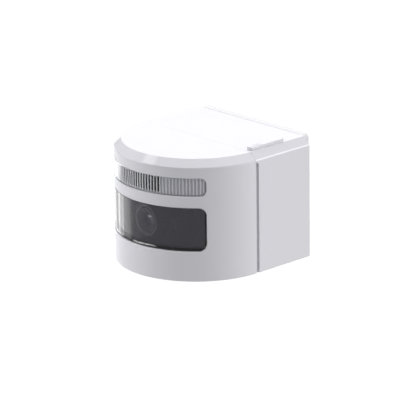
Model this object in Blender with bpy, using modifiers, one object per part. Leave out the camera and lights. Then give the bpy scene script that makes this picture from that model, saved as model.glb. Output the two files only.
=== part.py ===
"""Wall-mounted floodlight camera: half-round front with a light strip above a smoked camera window.

Lengths are in metres, in body coordinates: the centre of the round front's arc is at the origin in plan,
the front faces -Y, and z is 0 at the underside. One empty carries everything to the object's own frame,
whose origin is the centre of the wall plate's back face.
"""

import math

import bmesh
import bpy
from mathutils import Matrix, Vector

MM = 0.001

# Housing
RADIUS = 55 * MM  # half-round front, in plan
STRAIGHT = 49 * MM  # straight sides behind it
HEIGHT = 82.2 * MM
CHAMFER = 5 * MM  # bevel round the top rim
WALL = 2.5 * MM
GAP = 0.3 * MM  # between pieces that touch
OVER = 2 * MM  # how far a cutter runs past what it cuts
TINY = 0.001 * MM
ARC_STEPS = 48

# Wall side
PLATE_T = 5.5 * MM
PLATE_HALF_WIDTH = 48.4 * MM
PLATE_Z = (3.2 * MM, 82.2 * MM)
STUD_X = 30 * MM
STUD_Z = 58 * MM
STUD_R = 2.0 * MM
STUD_HEAD_R = 3.8 * MM
STUD_HEAD_T = 2 * MM
LIFT = 8 * MM  # to unhook the housing
CABLE_Z = 26 * MM
CABLE_HOLE_R = 8 * MM
CABLE_BORE_R = 5 * MM
SCREW_SLOT_X = 36 * MM
SCREW_SLOT_Z = (14 * MM, 72 * MM)
SCREW_SLOT_HALF = (5 * MM, 2.5 * MM)

# Openings of the front cover, as (half angle, low z, high z, corner radius)
WINDOW = (math.radians(52.2), 20.5 * MM, 50.1 * MM, 5.3 * MM)
STRIP = (math.radians(52.2), 57.9 * MM, 70.1 * MM, 4.1 * MM)
LENS_T = 2.0 * MM
LENS_SINK = 0.1 * MM  # below the cover's surface
SEAL_T = 2.0 * MM
WINDOW_LIP = 1.6 * MM  # seal's overlap on the cover and on the window
STRIP_LIP = 1.0 * MM

# Light
REFLECTOR_R = 50 * MM
REFLECTOR_DEPTH = 5 * MM
TRAY_FLOOR = 1.0 * MM
SINK_R = 44.3 * MM
PANEL_HALF_ANGLE = math.radians(17.9)
LIGHT_Z = (58.6 * MM, 69.4 * MM)
LED_HALF = 1.7 * MM
CHIP_T = 0.8 * MM
FIN_COUNT = 9
FIN_PITCH = 7.4 * MM
FIN_T = 1.4 * MM

# Camera
LENS_Z = 35.3 * MM
RING_Y = -47.9 * MM
RING_R = 12.03 * MM
RING_DEPTH = 3 * MM
BARREL_R = 11.6 * MM
BARREL_BACK = -27 * MM
PIN_R = 1.5 * MM
YOKE_INNER = 14 * MM
YOKE_OUTER = 16.2 * MM
PAN_Y = -24 * MM
TILT_Y = -34 * MM

# Seam between front cover and rear housing
GROOVE_DEPTH = 1.5 * MM
GROOVE_BACK = 2.5 * MM
GROOVE_TOP = 75.5 * MM

# Small movers
DOOR_X = (19 * MM, 47 * MM)
DOOR_Y = (18 * MM, 34 * MM)
DOOR_T = 1.6 * MM
DOOR_GAP = 0.5 * MM
BUTTON_AT = (23.5 * MM, 23.5 * MM)
BUTTON_R = 2.0 * MM
BUTTON_LENGTH = 4.6 * MM
LATCH_X = (45.0 * MM, 49.6 * MM)
LATCH_Y = (1.2 * MM, 31.2 * MM)
LATCH_STEM_HALF = 1.1 * MM
LATCH_RISE = 2.0 * MM
LATCH_TRAVEL = 3 * MM

# Sound, under slots and a hole in the housing's floor
SPEAKER_AT = (-27 * MM, 24 * MM)
MICROPHONE_AT = (-8 * MM, 10 * MM)

NAME = "floodlight_camera"


def clear_scene():
    for old in list(bpy.data.objects):
        bpy.data.objects.remove(old, do_unlink=True)


def collection(name):
    made = bpy.data.collections.new(name)
    bpy.context.scene.collection.children.link(made)
    return made


clear_scene()
PARTS = collection(NAME)
CUTTERS = collection(NAME + "_cutters")


def empty(name, at=(0, 0, 0), parent=None):
    made = bpy.data.objects.new(name, None)
    made.empty_display_size = 0.01
    made.location = at
    made.parent = parent
    PARTS.objects.link(made)
    return made


HOUSING_FRONT = GAP
HOUSING_BACK = STRAIGHT + GAP
PLATE_FRONT = HOUSING_BACK + GAP
PLATE_BACK = PLATE_FRONT + PLATE_T
INNER_CHAMFER = CHAMFER - WALL * (2 - math.sqrt(2))
INNER_Z = (WALL, HEIGHT - WALL)
LIGHT_LINE = sum(LIGHT_Z) / 2

ROOT = empty("body_frame", (0, -PLATE_BACK, -sum(PLATE_Z) / 2))


def material(name, colour, roughness=0.5, metallic=0.0, alpha=1.0):
    made = bpy.data.materials.new(name)
    made.use_nodes = True
    shader = made.node_tree.nodes["Principled BSDF"]
    shader.inputs["Base Color"].default_value = (*colour, 1.0)
    shader.inputs["Roughness"].default_value = roughness
    shader.inputs["Metallic"].default_value = metallic
    shader.inputs["Alpha"].default_value = alpha
    return made


SHELL = material("shell_white", (0.80, 0.80, 0.81), 0.45)
BACK = material("back_grey", (0.55, 0.55, 0.56), 0.55)
SMOKED = material("smoked_window", (0.03, 0.03, 0.035), 0.05)
CLEAR = material("clear_lens", (0.85, 0.87, 0.88), 0.08)
REFLECTOR = material("reflector_white", (0.78, 0.78, 0.80), 0.3)
DARK = material("dark_plastic", (0.03, 0.03, 0.03), 0.4)
RUBBER = material("rubber", (0.10, 0.10, 0.10), 0.8)
BOARD = material("circuit_board", (0.02, 0.16, 0.07), 0.5)
WHITE_BOARD = material("white_board", (0.85, 0.85, 0.85), 0.5)
ALUMINIUM = material("aluminium", (0.70, 0.70, 0.72), 0.35, 1.0)
STEEL = material("steel", (0.60, 0.60, 0.62), 0.3, 1.0)
LED = material("led", (0.95, 0.85, 0.45), 0.3)
GLASS = material("lens_glass", (0.05, 0.06, 0.09), 0.03)
BLUE = material("button_blue", (0.10, 0.20, 0.45), 0.4)


def add(name, bm, finish, parent=None, at=(0, 0, 0)):
    """Make a named object from a bmesh whose points are relative to `at`."""
    bmesh.ops.recalc_face_normals(bm, faces=bm.faces)
    mesh = bpy.data.meshes.new(name)
    bm.to_mesh(mesh)
    bm.free()
    made = bpy.data.objects.new(name, mesh)
    made.location = at
    if finish is None:
        made.hide_render = True
        made.display_type = "WIRE"
        CUTTERS.objects.link(made)
    else:
        mesh.materials.append(finish)
        PARTS.objects.link(made)
    made.parent = ROOT if parent is None else parent
    return made


def local(point, parent):
    """Body coordinates to a parent empty's own."""
    return Vector(point) - (parent.location if parent else Vector())


def box(name, low, high, finish=None, parent=None):
    low, high = Vector(low), Vector(high)
    bm = bmesh.new()
    bmesh.ops.create_cube(bm, size=1)
    bmesh.ops.scale(bm, vec=high - low, verts=bm.verts)
    return add(name, bm, finish, parent, local((low + high) / 2, parent))


TURN = {
    "X": Matrix.Rotation(math.pi / 2, 3, "Y"),
    "Y": Matrix.Rotation(-math.pi / 2, 3, "X"),
    "Z": Matrix.Identity(3),
}


def rod(name, radius, low, axis, length, finish=None, parent=None, far_radius=None, steps=32):
    """A cylinder or cone from the point `low`, along +axis."""
    bm = bmesh.new()
    bmesh.ops.create_cone(
        bm,
        cap_ends=True,
        segments=steps,
        radius1=radius,
        radius2=radius if far_radius is None else far_radius,
        depth=length,
    )
    bmesh.ops.translate(bm, vec=(0, 0, length / 2), verts=bm.verts)
    bmesh.ops.rotate(bm, cent=(0, 0, 0), matrix=TURN[axis], verts=bm.verts)
    return add(name, bm, finish, parent, local(low, parent))


def turned(name, profile, at, axis, finish, parent=None, steps=40):
    """A turned piece: `profile` holds (radius, height) from its top outside edge down and round."""
    bm = bmesh.new()
    points = [bm.verts.new((radius, 0, height)) for radius, height in profile]
    for first, second in zip(points, points[1:]):
        bm.edges.new((first, second))
    if profile[0][0] > 0 or profile[-1][0] > 0:
        bm.edges.new((points[-1], points[0]))
    made = add(name, bm, finish, parent, local(at, parent))
    made.rotation_euler = TURN[axis].to_euler()
    screw = made.modifiers.new("turn", "SCREW")
    screw.steps = steps
    screw.render_steps = steps
    screw.use_merge_vertices = True
    screw.merge_threshold = 0.00001
    screw.use_smooth_shade = False
    return made


# An outline's (x, y) becomes (X, Z), raised along Y
UPRIGHT = Matrix(((1, 0, 0, 0), (0, 0, 1, 0), (0, 1, 0, 0), (0, 0, 0, 1)))


def prism(name, outline, low, high, finish=None, parent=None, axis="Z", chamfer=0.0, rim=None):
    """An outline in plan, raised from `low` to `high`; `chamfer` bevels the top edges that `rim` picks."""
    bm = bmesh.new()
    face = bm.faces.new([bm.verts.new((x, y, low)) for x, y in outline])
    raised = bmesh.ops.extrude_face_region(bm, geom=[face])
    top = [part for part in raised["geom"] if isinstance(part, bmesh.types.BMVert)]
    bmesh.ops.translate(bm, vec=(0, 0, high - low), verts=top)
    if chamfer:
        edges = [e for e in bm.edges if all(v in top for v in e.verts) and rim(e)]
        bmesh.ops.bevel(bm, geom=edges, offset=chamfer, segments=1, affect="EDGES", clamp_overlap=False)
    if axis == "Y":
        bmesh.ops.transform(bm, matrix=UPRIGHT, verts=bm.verts)
    offset = parent.location if parent else Vector()
    bmesh.ops.translate(bm, vec=-offset, verts=bm.verts)
    return add(name, bm, finish, parent)


def polar(radius, angle):
    """A point of the round front: angle 0 is straight ahead, positive to +X."""
    return radius * math.sin(angle), -radius * math.cos(angle)


def arc(radius, first, last, steps):
    return [polar(radius, first + (last - first) * i / steps) for i in range(steps + 1)]


def sheet(name, radius, thickness, area, grow=0.0, centre=0.0, finish=None, steps=32):
    """A rounded rectangle wrapped on the arc, with its outer side at `radius`."""
    half_angle, low, high, corner = area
    half_angle = half_angle + grow / radius
    low = low - grow
    high = high + grow
    corner = max(corner + grow, 0.0)
    half = half_angle * radius
    flat = half - corner
    bends = 6 if corner else 0
    ends = [(half, 0.0)]
    if bends:
        turns = [math.pi / 2 * i / bends for i in range(bends + 1)]
        ends = [(flat + corner * math.sin(t), corner * (1 - math.cos(t))) for t in turns]
    middle = [(-flat + 2 * flat * i / steps, 0.0) for i in range(1, steps)]
    columns = [(-s, inset) for s, inset in reversed(ends)] + middle + ends
    bm = bmesh.new()
    pairs = []
    for along, inset in columns:
        x, y = polar(radius, centre + along / radius)
        pairs.append((bm.verts.new((x, y, low + inset)), bm.verts.new((x, y, high - inset))))
    for (a, b), (c, d) in zip(pairs, pairs[1:]):
        bm.faces.new((a, c, d, b))
    made = add(name, bm, finish)
    solidify = made.modifiers.new("thickness", "SOLIDIFY")
    solidify.thickness = thickness
    return made


def cut(target, *cutters):
    for cutter in cutters:
        boolean = target.modifiers.new("cut_" + cutter.name, "BOOLEAN")
        boolean.operation = "DIFFERENCE"
        boolean.object = cutter


def side_rim(edge):
    """Top edges that run front to back."""
    first, second = edge.verts
    return abs(first.co.x - second.co.x) < TINY


def half_round(name, inset, back, low, high, chamfer, finish=None):
    """The round front's shape, `inset` from its outside, with straight sides to `back`."""
    radius = RADIUS - inset
    outline = arc(radius, -math.pi / 2, math.pi / 2, ARC_STEPS)
    if back:
        outline += [(radius, back), (-radius, back)]

    def rim(edge):
        return any(v.co.y < back - TINY for v in edge.verts)

    return prism(name, outline, low, high, finish, chamfer=chamfer, rim=rim)


def block(name, inset, front, back, low, high, chamfer, finish=None):
    half = RADIUS - inset
    outline = [(-half, front), (half, front), (half, back), (-half, back)]
    return prism(name, outline, low, high, finish, chamfer=chamfer, rim=side_rim)


def wall_side():
    plate = box(
        "wall_plate",
        (-PLATE_HALF_WIDTH, PLATE_FRONT, PLATE_Z[0]),
        (PLATE_HALF_WIDTH, PLATE_BACK, PLATE_Z[1]),
        BACK,
    )
    through = (PLATE_FRONT - OVER, PLATE_BACK + OVER)
    cutters = [rod("cut_cable", CABLE_HOLE_R, (0, through[0], CABLE_Z), "Y", through[1] - through[0])]
    for x in (-SCREW_SLOT_X, SCREW_SLOT_X):
        for z in SCREW_SLOT_Z:
            low = (x - SCREW_SLOT_HALF[0], through[0], z - SCREW_SLOT_HALF[1])
            high = (x + SCREW_SLOT_HALF[0], through[1], z + SCREW_SLOT_HALF[1])
            cutters.append(box("cut_screw_slot", low, high))
    head_y = HOUSING_BACK - WALL - GAP - STUD_HEAD_T
    seat_depth = 4 * MM
    length = PLATE_FRONT + seat_depth - 0.5 * MM - head_y
    profile = [
        (0, length),
        (STUD_R, length),
        (STUD_R, STUD_HEAD_T),
        (STUD_HEAD_R, STUD_HEAD_T),
        (STUD_HEAD_R, 0),
        (0, 0),
    ]
    for side, x in (("left", -STUD_X), ("right", STUD_X)):
        start = (x, through[0], STUD_Z)
        cutters.append(rod(f"cut_stud_{side}", STUD_R + GAP, start, "Y", OVER + seat_depth))
        turned(f"hang_stud_{side}", profile, (x, head_y, STUD_Z), "Y", STEEL, steps=24)
    cut(plate, *cutters)
    outer = CABLE_HOLE_R - GAP
    profile = [(outer, PLATE_T), (outer, 0), (CABLE_BORE_R, 0), (CABLE_BORE_R, PLATE_T)]
    turned("cable_grommet", profile, (0, PLATE_FRONT, CABLE_Z), "Y", RUBBER)


def rear_housing():
    housing = block("rear_housing", 0, HOUSING_FRONT, HOUSING_BACK, 0, HEIGHT, CHAMFER, SHELL)
    cavity_front = HOUSING_FRONT - OVER
    cavity = block("cut_housing", WALL, cavity_front, HOUSING_BACK - WALL, *INNER_Z, INNER_CHAMFER)
    cutters = [cavity]
    for side, sign in (("left", -1), ("right", 1)):
        x = sorted((sign * (RADIUS - GROOVE_DEPTH), sign * (RADIUS + OVER)))
        cutters.append(box(f"cut_groove_{side}", (x[0], -OVER, -OVER), (x[1], GROOVE_BACK, GROOVE_TOP)))
        cutters += keyhole(side, sign * STUD_X)
    cutters += [latch_slot(), cable_way(), door_way(), *bottom_holes()]
    cut(housing, *cutters)


def keyhole(side, x):
    """Slot that hangs on a stud, and the wide hole below it that the stud's head goes in through."""
    front = HOUSING_BACK - WALL - OVER
    entry_z = STUD_Z - LIFT
    half = STUD_R + 0.4 * MM
    slot = box(
        f"cut_key_slot_{side}", (x - half, front, entry_z), (x + half, HOUSING_BACK + OVER, STUD_Z + half)
    )
    entry_r = STUD_HEAD_R + 0.5 * MM
    entry = rod(f"cut_key_entry_{side}", entry_r, (x, front, entry_z), "Y", WALL + 2 * OVER)
    return slot, entry


def latch_slot():
    middle = sum(LATCH_X) / 2
    play = 0.4 * MM
    half = LATCH_STEM_HALF + GAP
    return box(
        "cut_latch",
        (middle - half, LATCH_Y[0] - play, HEIGHT - WALL - OVER),
        (middle + half, LATCH_Y[1] + LATCH_TRAVEL + play, HEIGHT + OVER),
    )


def cable_way():
    half = 10 * MM
    tall = 11 * MM
    front = HOUSING_BACK - WALL - OVER
    return box("cut_cable_way", (-half, front, CABLE_Z - tall), (half, HOUSING_BACK + OVER, CABLE_Z + tall))


def door_way():
    return box(
        "cut_door",
        (DOOR_X[0] - DOOR_GAP, DOOR_Y[0] - DOOR_GAP, -OVER),
        (DOOR_X[1] + DOOR_GAP, DOOR_Y[1] + DOOR_GAP, WALL + OVER),
    )


def bottom_holes():
    """Speaker slots and the microphone's hole, in the housing's floor."""
    slot = 2 * MM
    pitch = 5 * MM
    tall = 16 * MM
    holes = []
    for i in range(-2, 3):
        x, y = SPEAKER_AT[0] + i * pitch, SPEAKER_AT[1]
        low = (x - slot / 2, y - tall / 2, -OVER)
        high = (x + slot / 2, y + tall / 2, WALL + OVER)
        holes.append(box(f"cut_grille_{i + 2}", low, high))
    holes.append(rod("cut_microphone", 0.8 * MM, (*MICROPHONE_AT, -OVER), "Z", WALL + 2 * OVER, steps=16))
    return holes


def gasket_and_frame():
    half = RADIUS - WALL - GAP
    low = WALL + GAP
    high = 76.0 * MM
    band = 2.2 * MM
    gasket = box("seam_gasket", (-half, -1.2 * MM, low), (half, 1.2 * MM, high), RUBBER)
    hole = box("cut_gasket", (-half + band, -OVER, low + band), (half - band, OVER, high - band))
    cut(gasket, hole)

    front, back = 2 * MM, 4 * MM
    frame = box("inner_frame", (-half, front, low), (half, back, high), DARK)
    cutters = [box("cut_frame_wires", (-8 * MM, 0, 40 * MM), (8 * MM, back + OVER, 52 * MM))]
    shank_r, head_r = 1.5 * MM, 3 * MM
    head_t, length = 1.5 * MM, 8 * MM
    profile = [(0, length), (shank_r, length), (shank_r, head_t), (head_r, head_t), (head_r, 0), (0, 0)]
    corners = [(x, z) for x in (-46 * MM, 46 * MM) for z in (9 * MM, 70 * MM)]
    for i, (x, z) in enumerate(corners, start=1):
        cutters.append(rod(f"cut_frame_screw_{i}", shank_r + GAP, (x, 0, z), "Y", back + OVER, steps=20))
        turned(f"frame_screw_{i}", profile, (x, front - head_t - GAP, z), "Y", STEEL, steps=20)
    cut(frame, *cutters)


def boards():
    board_t = 1.6 * MM
    half = 40 * MM
    main_front = 8 * MM
    box("main_board", (-half, main_front, 17 * MM), (half, main_front + board_t, 74 * MM), BOARD)
    can_low = main_front + board_t + GAP
    can_high = can_low + 2.5 * MM
    box("processor_shield", (-22 * MM, can_low, 38 * MM), (2 * MM, can_high, 62 * MM), STEEL)
    box("radio_shield", (12 * MM, can_low, 44 * MM), (28 * MM, can_high, 60 * MM), STEEL)

    driver_front = 36 * MM
    box("driver_board", (-half, driver_front, 40 * MM), (half, driver_front + board_t, 76 * MM), BOARD)
    foot = driver_front - GAP
    box("transformer", (-30 * MM, 19 * MM, 44 * MM), (-8 * MM, foot, 64 * MM), DARK)
    can_front = 17 * MM
    rod("capacitor", 6 * MM, (8 * MM, can_front, 56 * MM), "Y", foot - can_front, DARK)
    box("terminal_block", (-14 * MM, 27 * MM, 6 * MM), (14 * MM, 37 * MM, 13.5 * MM), BLUE)
    box("antenna", (50.6 * MM, 12 * MM, 30 * MM), (52.0 * MM, 40 * MM, 62 * MM), BOARD)

    floor = WALL + GAP
    rod("microphone", 2.5 * MM, (*MICROPHONE_AT, floor), "Z", 2 * MM, STEEL, steps=20)
    magnet_r, cone_r = 8 * MM, 13.5 * MM
    profile = [(0, 7 * MM), (magnet_r, 7 * MM), (magnet_r, 3.4 * MM), (cone_r, 1.6 * MM), (cone_r, 0), (0, 0)]
    turned("speaker", profile, (*SPEAKER_AT, floor), "Z", DARK, steps=32)


def card_bay():
    back = 26.9 * MM
    board_front = back + GAP
    box("io_board", (20 * MM, board_front, 3 * MM), (48 * MM, board_front + 1.2 * MM, 15 * MM), BOARD)
    box("card_slot", (30 * MM, 24.8 * MM, 3.2 * MM), (45 * MM, back, 14.6 * MM), STEEL)
    x, y = BUTTON_AT
    seat = DOOR_T + GAP
    switch_low = seat + BUTTON_LENGTH + 1.1 * MM
    box("tact_switch", (x - 3 * MM, y - 2 * MM, switch_low), (x + 3 * MM, back, 12 * MM), DARK)
    press = empty("press_axis", (x, y, seat), ROOT)
    rod("reset_button", BUTTON_R, (x, y, seat), "Z", BUTTON_LENGTH, BLUE, press, steps=24)
    hinge = empty("door_axis", (0, DOOR_Y[1] - DOOR_T / 2, DOOR_T / 2), ROOT)
    box("card_door", (DOOR_X[0], DOOR_Y[0], 0), (DOOR_X[1], DOOR_Y[1], DOOR_T), RUBBER, hinge)


def top_latch():
    """A low bar on the top face, with a stem through the slot and a foot that keeps it in."""
    middle = sum(LATCH_X) / 2
    half = (LATCH_X[1] - LATCH_X[0]) / 2
    foot = 2.0 * MM
    seat = HEIGHT + GAP
    top = seat + LATCH_RISE
    ledge = HEIGHT - WALL - 0.7 * MM
    low = ledge - 1.2 * MM
    stem = LATCH_STEM_HALF
    right = [(half, top), (half, seat), (stem, seat), (stem, ledge), (foot, ledge), (foot, low)]
    outline = [(middle + x, z) for x, z in right]
    outline += [(middle - x, z) for x, z in reversed(right)]
    prism("top_latch", outline, *LATCH_Y, SHELL, axis="Y")


def front():
    cover = half_round("front_cover", 0, 0, 0, HEIGHT, CHAMFER, SHELL)
    cavity = half_round("cut_cover", WALL, OVER, *INNER_Z, INNER_CHAMFER)
    window_way = sheet("cut_window", RADIUS + OVER, WALL + 2 * OVER, WINDOW)
    strip_way = sheet("cut_strip", RADIUS + OVER, WALL + 2 * OVER, STRIP)
    cut(cover, cavity, window_way, strip_way)

    outer = RADIUS - LENS_SINK
    sheet("window", outer, LENS_T, WINDOW, -GAP, finish=SMOKED)
    sheet("strip_lens", outer, LENS_T, STRIP, -GAP, finish=CLEAR)

    seal_r = RADIUS - WALL - GAP
    for name, opening, lip, thickness, finish in (
        ("window_seal", WINDOW, WINDOW_LIP, SEAL_T, RUBBER),
        ("strip_seal", STRIP, STRIP_LIP, SEAL_T - 0.1 * MM, WHITE_BOARD),
    ):
        seal = sheet(name, seal_r, thickness, opening, lip, finish=finish)
        cut(seal, sheet("cut_" + name, seal_r + OVER / 2, thickness + OVER, opening, -lip))
    margin = 0.7 * MM
    panel = (PANEL_HALF_ANGLE, LIGHT_Z[0] + margin, LIGHT_Z[1] - margin, 0.0)
    sheet("sensor_panel", seal_r + 0.1 * MM, 1.5 * MM, panel, finish=DARK, steps=12)


def light():
    start = PANEL_HALF_ANGLE + math.radians(0.8)
    stop = math.radians(50.5)
    half = (stop - start) / 2
    wall_angle = math.radians(1)
    low, high = LIGHT_Z[0] + TRAY_FLOOR, LIGHT_Z[1] - TRAY_FLOOR
    floor_r = REFLECTOR_R - REFLECTOR_DEPTH + TRAY_FLOOR
    board_r = floor_r + GAP + CHIP_T
    chip_r = board_r + GAP + CHIP_T
    board = (half - 2 * wall_angle, low + 1 * MM, high - 1 * MM, 0.0)
    chip = (LED_HALF / board_r, LIGHT_LINE - LED_HALF, LIGHT_LINE + LED_HALF, 0.0)
    steps = 14
    for side, sign in (("left", -1), ("right", 1)):
        centre = sign * (start + stop) / 2
        reflector = sheet(
            f"reflector_{side}",
            REFLECTOR_R - GAP,
            REFLECTOR_DEPTH - GAP,
            (half, *LIGHT_Z, 0.0),
            centre=centre,
            finish=REFLECTOR,
            steps=steps,
        )
        scoop = sheet(
            f"cut_reflector_{side}",
            REFLECTOR_R + OVER / 2,
            REFLECTOR_R + OVER / 2 - floor_r,
            (half - wall_angle, low, high, 0.0),
            centre=centre,
            steps=steps,
        )
        cut(reflector, scoop)
        sheet(f"led_board_{side}", board_r, CHIP_T, board, centre=centre, finish=WHITE_BOARD, steps=steps)
        for i in range(3):
            turn = centre + (i - 1) * half * 0.6
            sheet(f"led_{side}_{i + 1}", chip_r, CHIP_T, chip, centre=turn, finish=LED, steps=2)
    rod("motion_sensor", 4.2 * MM, (0, -50.4 * MM, LIGHT_LINE), "Y", 4.2 * MM, STEEL)
    box("motion_board", (-14 * MM, -45.9 * MM, LIGHT_Z[0]), (14 * MM, -44.9 * MM, LIGHT_Z[1]), BOARD)


def heat_sink():
    """Finned aluminium block: round at the front, a comb of fins at the back."""
    root_y = -26 * MM
    tip_y = -8 * MM
    edge = math.radians(48)
    outline = arc(SINK_R, -edge, edge, 20)
    half = outline[-1][0]
    outline.append((half, root_y))
    for i in range(FIN_COUNT):
        x = (FIN_COUNT - 1) / 2 * FIN_PITCH - i * FIN_PITCH
        right, left = x + FIN_T / 2, x - FIN_T / 2
        outline += [(right, root_y), (right, tip_y), (left, tip_y), (left, root_y)]
    outline.append((-half, root_y))
    prism("heat_sink", outline, 56.5 * MM, 71.5 * MM, ALUMINIUM)


def pan_stage():
    """Shelf with the pan motor under it, and the yoke that turns on the motor's shaft."""
    shelf = box("camera_shelf", (-20 * MM, -36 * MM, 13.0 * MM), (20 * MM, 1.7 * MM, 15.0 * MM), BACK)
    cut(shelf, rod("cut_shelf_shaft", 3 * MM, (0, PAN_Y, 12 * MM), "Z", 4 * MM, steps=24))
    motor_low, motor_high = 3.2 * MM, 12.6 * MM
    rod("pan_motor", 10 * MM, (0, PAN_Y, motor_low), "Z", motor_high - motor_low, STEEL)

    pan = empty("pan_axis", (0, PAN_Y, LENS_Z), ROOT)
    base, floor, top = 16.8 * MM, 19.0 * MM, 40.3 * MM
    shaft_low = motor_high + GAP
    rod("pan_shaft", 2 * MM, (0, PAN_Y, shaft_low), "Z", base - GAP - shaft_low, STEEL, pan, steps=24)
    outline = [
        (-YOKE_OUTER, base),
        (YOKE_OUTER, base),
        (YOKE_OUTER, top),
        (YOKE_INNER, top),
        (YOKE_INNER, floor),
        (-YOKE_INNER, floor),
        (-YOKE_INNER, top),
        (-YOKE_OUTER, top),
    ]
    yoke = prism("camera_yoke", outline, -39 * MM, -20 * MM, DARK, pan, axis="Y")
    reach = YOKE_OUTER + OVER
    cut(yoke, rod("cut_yoke_pins", PIN_R + GAP, (-reach, TILT_Y, LENS_Z), "X", 2 * reach, steps=24))
    rod("tilt_motor", 5.5 * MM, (YOKE_OUTER + GAP, TILT_Y, LENS_Z), "X", 5.5 * MM, DARK, pan)


def camera_head():
    tilt = empty("tilt_axis", (0, TILT_Y, LENS_Z), ROOT)
    gap = 0.8 * MM
    length = YOKE_OUTER - BARREL_R - gap
    for side, low in (("left", -YOKE_OUTER), ("right", BARREL_R + gap)):
        rod(f"tilt_pin_{side}", PIN_R, (low, TILT_Y, LENS_Z), "X", length, STEEL, tilt, steps=24)

    def turned_at(name, profile, finish):
        """Turned about the lens's own line, with heights from the ring's front."""
        return turned(name, profile, (0, RING_Y, LENS_Z), "Y", finish, tilt)

    back = BARREL_BACK - RING_Y
    socket_r = 9.3 * MM
    socket = 6 * MM
    face = RING_DEPTH + GAP
    turned_at(
        "camera_barrel",
        [(0, back), (BARREL_R, back), (BARREL_R, face), (socket_r, face), (socket_r, socket), (0, socket)],
        DARK,
    )
    inner, bevel = 10.9 * MM, 0.3 * MM
    turned_at(
        "camera_ring",
        [(RING_R, RING_DEPTH), (RING_R, bevel), (RING_R - bevel, 0), (inner, 0), (inner, RING_DEPTH)],
        DARK,
    )
    outer, inner = 10.6 * MM, 9.0 * MM
    low, high = 0.9 * MM, 2.4 * MM
    turned_at("ir_ring", [(outer, high), (outer, low), (inner, low), (inner, high)], REFLECTOR)
    outer, mouth, throat = 8.7 * MM, 8.2 * MM, 4.0 * MM
    high = 5.6 * MM
    turned_at(
        "lens_hood",
        [(outer, high), (outer, low), (mouth, low), (throat, throat), (throat, high)],
        DARK,
    )
    radius = throat - GAP
    turned_at(
        "lens_glass",
        [(0, 5.4 * MM), (radius, 5.4 * MM), (radius, 3.4 * MM), (2.4 * MM, 2.2 * MM), (0, 1.7 * MM)],
        GLASS,
    )
    half = 9 * MM
    low_y = BARREL_BACK + GAP
    box("image_board", (-half, low_y, LENS_Z - half), (half, low_y + 1.2 * MM, LENS_Z + half), BOARD, tilt)


wall_side()
rear_housing()
gasket_and_frame()
boards()
card_bay()
top_latch()
front()
light()
heat_sink()
pan_stage()
camera_head()
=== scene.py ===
"""Visual model of a wall-mounted floodlight camera: fine shells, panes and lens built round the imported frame."""
import math

import bmesh
import bpy
from mathutils import Matrix, Vector


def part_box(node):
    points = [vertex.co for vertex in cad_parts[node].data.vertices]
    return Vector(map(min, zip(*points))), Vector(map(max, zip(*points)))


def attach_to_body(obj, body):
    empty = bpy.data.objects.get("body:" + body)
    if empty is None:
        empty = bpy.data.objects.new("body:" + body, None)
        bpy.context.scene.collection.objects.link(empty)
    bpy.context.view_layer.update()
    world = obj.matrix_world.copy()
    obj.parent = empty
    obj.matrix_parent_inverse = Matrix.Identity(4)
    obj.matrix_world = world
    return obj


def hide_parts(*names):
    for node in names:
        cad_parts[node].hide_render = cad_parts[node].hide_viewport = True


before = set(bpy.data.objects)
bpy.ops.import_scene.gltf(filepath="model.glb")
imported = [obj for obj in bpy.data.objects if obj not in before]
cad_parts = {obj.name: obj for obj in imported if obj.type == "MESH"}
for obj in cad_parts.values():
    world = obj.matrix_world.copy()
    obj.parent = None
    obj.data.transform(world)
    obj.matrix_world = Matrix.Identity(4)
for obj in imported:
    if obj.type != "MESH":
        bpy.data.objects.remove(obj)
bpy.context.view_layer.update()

MM = 0.001

# ---------------------------------------------------------------- places, from the frame
cover_low, cover_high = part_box("front_cover")
BASE = Vector((0.0, cover_high.y, cover_low.z))  # body coordinates start here: centre of the arc, underside
RADIUS = cover_high.x
HEIGHT = cover_high.z - cover_low.z
ARC_END = RADIUS * math.pi / 2  # along the arc from straight ahead to where the straight sides start


def body_box(node):
    """A CAD node's box in body coordinates: arc centre at x = y = 0, underside at z = 0, front at -Y."""
    low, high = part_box(node)
    return low - BASE, high - BASE


# ---------------------------------------------------------------- dimensions
WALL = 2.5 * MM
GAP = 0.3 * MM  # round the panes
CHAMFER = 5.0 * MM
INNER_CHAMFER = CHAMFER - WALL * (2 - math.sqrt(2))
CEILING = HEIGHT - WALL
LENS_T = 2.0 * MM
SINK = 0.1 * MM  # how far the panes sit below the shell
LIP = 0.5 * MM  # rounding round the cover's two openings
BOTTOM_EDGE = 0.5 * MM
BAND_EDGE = 1.3 * MM  # rounding between the wall and the bevelled band
TOP_EDGE = 0.5 * MM
OVER = 2 * MM  # how far a cutter runs past what it cuts

SKIN = 1.2 * MM  # of the strip lens, in front of its ribs
FLUTE_PITCH = math.radians(2.414) * RADIUS
FLUTE_WIDTH = 0.80 * MM
CLEAR_HALF = math.radians(19.3) * RADIUS  # the strip lens is backed by a diffuser beyond this, over the lights

GROOVE_WIDTH = 2.5 * MM  # at the housing's front corners, on both sides
GROOVE_DEPTH = 1.5 * MM
GROOVE_TOP = 75.9 * MM
GROOVE_ROUND = 2.6 * MM
KEY_HALF_WIDTH = 2.4 * MM
LIFT = 8 * MM  # to unhook the housing
CABLE_Z = 26 * MM
SPEAKER_X, SPEAKER_Y = -27 * MM, 24 * MM
MICROPHONE_X, MICROPHONE_Y = -8 * MM, 10 * MM

# ---------------------------------------------------------------- camera
AZIMUTH, ELEVATION, ROLL = (math.radians(d) for d in (46.45, 17.97, -0.73))
DISTANCE = 2.428
FOCAL = 329.4
AIM_RIGHT, AIM_UP = 1.37 * MM, 36.2 * MM


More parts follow.
